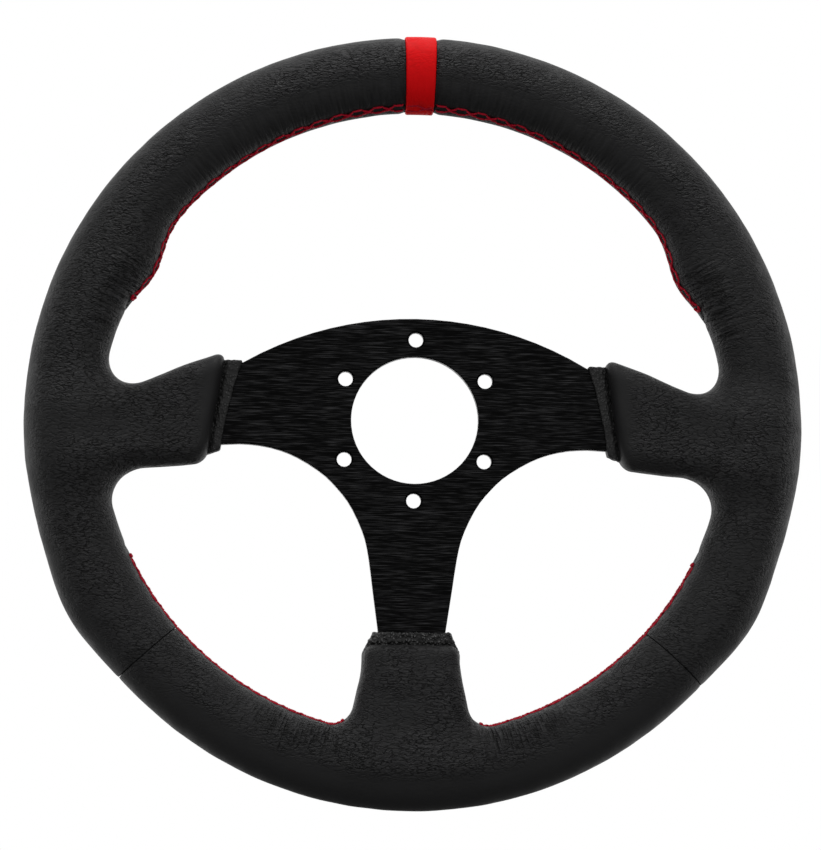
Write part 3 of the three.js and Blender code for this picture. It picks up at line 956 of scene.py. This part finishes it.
def black_leather_material():
    return leather_material(
        "leather_black_grained",
        # dark is the painted shade in the creases, light the painted highlight on the ridges.
        dark=(0.001, 0.001, 0.0011),
        light=(0.0235, 0.0235, 0.0245),
        rough=0.55,
        wrinkle=1.0,
        gloss=0.25,
    )


def red_leather_material():
    return leather_material(
        "leather_red",
        # dark is the painted shade in the creases, light the painted highlight on the ridges.
        dark=(0.68, 0.0015, 0.003),
        light=(0.82, 0.002, 0.0045),
        rough=0.6,
        wrinkle=0.08,
        gloss=0.09,
    )


def cuff_material(name, depth, light):
    """Thin crinkled leather, with rounded pebbles. Its colour has painted shade in the hollows and a
    painted highlight, of the light colour, on the tops.
    """
    n = Material(name)
    bent = n.warp(0.0006, 500.0)
    pebbles = n.spread(n.cells(820.0, bent), 0.05, 0.62, 1.0, 0.0)
    crinkle = n.noise(420.0, 1.0, 0.5, bent)
    height = n.plus(pebbles, n.times(crinkle, 0.8))
    return n.finish(
        # Painted shade in the hollows and a painted highlight on the pebble and crinkle tops.
        Base_Color=n.blend(n.spread(height, 0.3, 1.3), (0.003, 0.003, 0.003), (light, light, light)),
        Roughness=n.spread(n.noise(200.0, 2.0), 0.3, 0.7, 0.62, 0.5),
        Normal=n.bump(height, depth),
        Specular_IOR_Level=0.4,
    )


def anodised_material():
    """Black anodised aluminium, brushed along X."""
    n = Material("anodised_aluminium_brushed")
    hair = n.stretched((95.0, 60.0, 3300.0), 3.0, 0.6)
    band = n.stretched((26.0, 30.0, 950.0), 2.0)
    streak = n.plus(n.times(hair, 0.84), n.times(band, 0.16))
    return n.finish(
        Base_Color=n.blend(n.spread(streak, 0.48, 0.72), (0.002, 0.002, 0.0021), (0.050, 0.050, 0.052)),
        Metallic=0.85,
        Roughness=n.spread(streak, 0.3, 0.7, 0.46, 0.3),
        Normal=n.bump(streak, 0.00012, 0.6),
        Specular_IOR_Level=0.2,
    )


def steel_material():
    """Rolled steel, for the hoop, lugs and rivets under the leather."""
    n = Material("steel_rolled")
    scale = n.noise(240.0, 4.0, 0.6)
    return n.finish(
        Base_Color=n.blend(n.spread(scale, 0.3, 0.7), (0.30, 0.30, 0.31), (0.50, 0.50, 0.52)),
        Metallic=1.0,
        Roughness=n.spread(scale, 0.3, 0.7, 0.5, 0.34),
        Normal=n.bump(scale, 0.0001, 0.5),
    )


def foam_material():
    """Fine-celled moulded foam."""
    n = Material("polyurethane_foam")
    cells = n.cells(1500.0)
    return n.finish(
        Base_Color=n.blend(n.spread(cells, 0.1, 0.6), (0.035, 0.035, 0.036), (0.016, 0.016, 0.017)),
        Roughness=0.95,
        Normal=n.bump(cells, 0.0003, 0.6),
    )


def thread_material():
    """Red bonded thread with fine fibres."""
    n = Material("thread_red_bonded")
    fibres = n.noise(2600.0, 3.0, 0.6)
    return n.finish(
        Base_Color=n.blend(n.spread(fibres, 0.3, 0.7), (0.30, 0.003, 0.012), (0.55, 0.006, 0.030)),
        Roughness=n.spread(fibres, 0.3, 0.7, 0.65, 0.5),
        Normal=n.bump(fibres, 0.00008, 0.7),
        Specular_IOR_Level=0.12,
    )


def floor_material():
    n = Material("floor_pale")
    mottle = n.noise(3.0, 3.0)
    return n.finish(
        Base_Color=n.blend(n.spread(mottle, 0.3, 0.7), (0.85, 0.85, 0.85), (0.86, 0.86, 0.86)),
        Roughness=0.8,
    )


def coat(piece, material):
    piece.data.materials.clear()
    piece.data.materials.append(material)
    for face in piece.data.polygons:
        face.material_index = 0


def coat_node(name, material):
    """Gives one of the CAD's own pieces its material."""
    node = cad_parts[name]
    for slot in node.material_slots:
        slot.material = material


# ------------------------------------------------------------------ studio
# The camera as fitted to the bolt circle, the bore and the rim's outline: degrees, metres, and a lens and
# sensor in millimetres.
SENSOR, LENS = 36.0, 126.881
LENS_SHIFT = (-0.004824, -0.005059)
CAMERA_AZIMUTH, CAMERA_ELEVATION, CAMERA_ROLL = -2.585, -5.111, 0.852
CAMERA_DISTANCE = 1.3
FLOOR_HEIGHT, FLOOR_RADIUS = -0.62, 6.0
# How bright the surroundings are: everywhere, from above, from behind and from the front.
BASE_FILL, TOP_FILL, BACK_FILL, FRONT_FILL = 0.10, 0.16, 1.2, 0.46
FRONT_LOW, FRONT_HIGH = 0.55, 1.55
# Softboxes: where they stand, how wide and high they are, and their power.
TOP_LIGHT, TOP_LIGHT_SIZE, TOP_LIGHT_WATTS = (0, -0.15, 1.5), (1.1, 0.5), 10.5
RIGHT_LIGHT, LEFT_LIGHT = (1.35, 0.3, 0.2), (-1.35, 0.3, 0.2)
SIDE_LIGHT_SIZE, SIDE_LIGHT_WATTS = (0.4, 0.9), 2.5


def make_camera():
    azimuth, elevation = math.radians(CAMERA_AZIMUTH), math.radians(CAMERA_ELEVATION)
    back = Vector((
        math.sin(azimuth) * math.cos(elevation),
        -math.cos(azimuth) * math.cos(elevation),
        math.sin(elevation),
    ))
    right = (-back).cross(Vector((0, 0, 1))).normalized()
    up = right.cross(-back)
    roll = math.radians(CAMERA_ROLL)
    rolled_right = right * math.cos(roll) + up * math.sin(roll)
    rolled_up = up * math.cos(roll) - right * math.sin(roll)
    data = bpy.data.cameras.new("camera")
    data.sensor_width = SENSOR
    data.lens = LENS
    data.shift_x, data.shift_y = LENS_SHIFT
    data.clip_start, data.clip_end = 0.05, 50
    camera = bpy.data.objects.new("camera", data)
    turn = Matrix((rolled_right, rolled_up, back)).transposed().to_4x4()
    camera.matrix_world = Matrix.Translation(back * CAMERA_DISTANCE) @ turn
    bpy.context.scene.collection.objects.link(camera)
    bpy.context.scene.camera = camera


def add_softbox(name, place, size, power):
    """A rectangular area light that faces the wheel's middle."""
    data = bpy.data.lights.new(name, "AREA")
    data.shape = "RECTANGLE"
    data.size, data.size_y = size
    data.energy = power
    light = bpy.data.objects.new(name, data)
    light.location = place
    light.rotation_euler = (-Vector(place)).to_track_quat("-Z", "Y").to_euler()
    bpy.context.scene.collection.objects.link(light)


def make_world():
    """A white studio: what the camera sees of it is white, and it lights the wheel softly from the
    front, from above and along the edges, and leaves it dark underneath."""
    world = bpy.data.worlds.new("studio")
    world.use_nodes = True
    world.node_tree.nodes.clear()
    n = Nodes(world.node_tree, "Generated")
    x, y, z = n.split()
    off_bottom = n.spread(n.plus(z, n.math("ABSOLUTE", x)), -0.4, 0.0)
    above = n.spread(z, -0.2, 0.9, BASE_FILL, BASE_FILL + TOP_FILL)
    behind = n.times(n.spread(y, -0.2, 0.8, 0.0, BACK_FILL), off_bottom)
    front = n.spread(y, -0.9, 0.1, FRONT_FILL, 0.0)
    front = n.times(front, n.spread(z, -0.5, 0.5, FRONT_LOW, FRONT_HIGH))
    pick = n.add("ShaderNodeMix")
    n.link(n.add("ShaderNodeLightPath").outputs["Is Camera Ray"], pick.inputs["Factor"])
    n.link(n.plus(above, n.plus(behind, front)), pick.inputs["A"])
    pick.inputs["B"].default_value = 1.0
    light = n.add("ShaderNodeBackground")
    n.set(light, Color=(1, 1, 1, 1), Strength=pick.outputs[0])
    n.link(light.outputs[0], n.add("ShaderNodeOutputWorld").inputs["Surface"])
    bpy.context.scene.world = world


def make_floor():
    solid = bmesh.new()
    bmesh.ops.create_circle(solid, cap_ends=True, radius=FLOOR_RADIUS, segments=96)
    mesh = bpy.data.meshes.new("floor")
    solid.to_mesh(mesh)
    solid.free()
    floor = bpy.data.objects.new("floor", mesh)
    floor.location = (0, 0, FLOOR_HEIGHT)
    bpy.context.scene.collection.objects.link(floor)
    coat(floor, floor_material())
    floor.visible_diffuse = False
    floor.visible_glossy = False


def make_studio():
    make_camera()
    make_world()
    make_floor()
    add_softbox("softbox_top", TOP_LIGHT, TOP_LIGHT_SIZE, TOP_LIGHT_WATTS)
    add_softbox("softbox_left", LEFT_LIGHT, SIDE_LIGHT_SIZE, SIDE_LIGHT_WATTS)
    add_softbox("softbox_right", RIGHT_LIGHT, SIDE_LIGHT_SIZE, SIDE_LIGHT_WATTS)
    bpy.context.scene.view_settings.view_transform = "Standard"


# ------------------------------------------------------------------ the wheel
def dress_cad_nodes():
    """Materials for the pieces that stay as the CAD has them."""
    anodised, steel, foam = anodised_material(), steel_material(), foam_material()
    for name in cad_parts:
        if name == "spoke_plate":
            coat_node(name, anodised)
        elif name == "foam_core":
            coat_node(name, foam)
        elif name.startswith(("rim_hoop", "hoop_lug", "rivet")):
            coat_node(name, steel)


def place(piece, node, slot, material):
    """Gives a made piece its material, ties it to the body, and hides the CAD node it stands for."""
    coat(piece, material)
    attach(piece, BODY)
    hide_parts(node)


def build():
    """Every made piece, shown in place of the CAD node it stands for, and the materials of all the others.
    """
    black, red, thread = black_leather_material(), red_leather_material(), thread_material()
    # The last number is the painted highlight on the cuffs' bumps, much brighter on the crinkled bottom
    # cuff.
    pebbled = cuff_material("leather_cuff_pebbled", 0.00022, 0.022)
    crinkled = cuff_material("leather_cuff_crinkled", 0.0009, 0.14)
    cuffs = {"right": pebbled, "left": pebbled, "bottom": crinkled}
    core = make_core()
    skin = make_skin(core)
    for side in ("right", "left", "bottom"):
        panel = make_panel(side, skin)
        place(panel, f"leather_{side}", "black_leather", black)
        place(make_cuff(side), f"cuff_{side}", "cuff_leather", cuffs[side])
    band = make_marker(core)
    place(band, "centre_marker", "red_leather", red)
    bpy.data.objects.remove(core)
    bpy.data.objects.remove(skin)
    for side, piece in make_threads().items():
        place(piece, f"stitching_{side}", "red_thread", thread)
    dress_cad_nodes()


make_studio()
build()
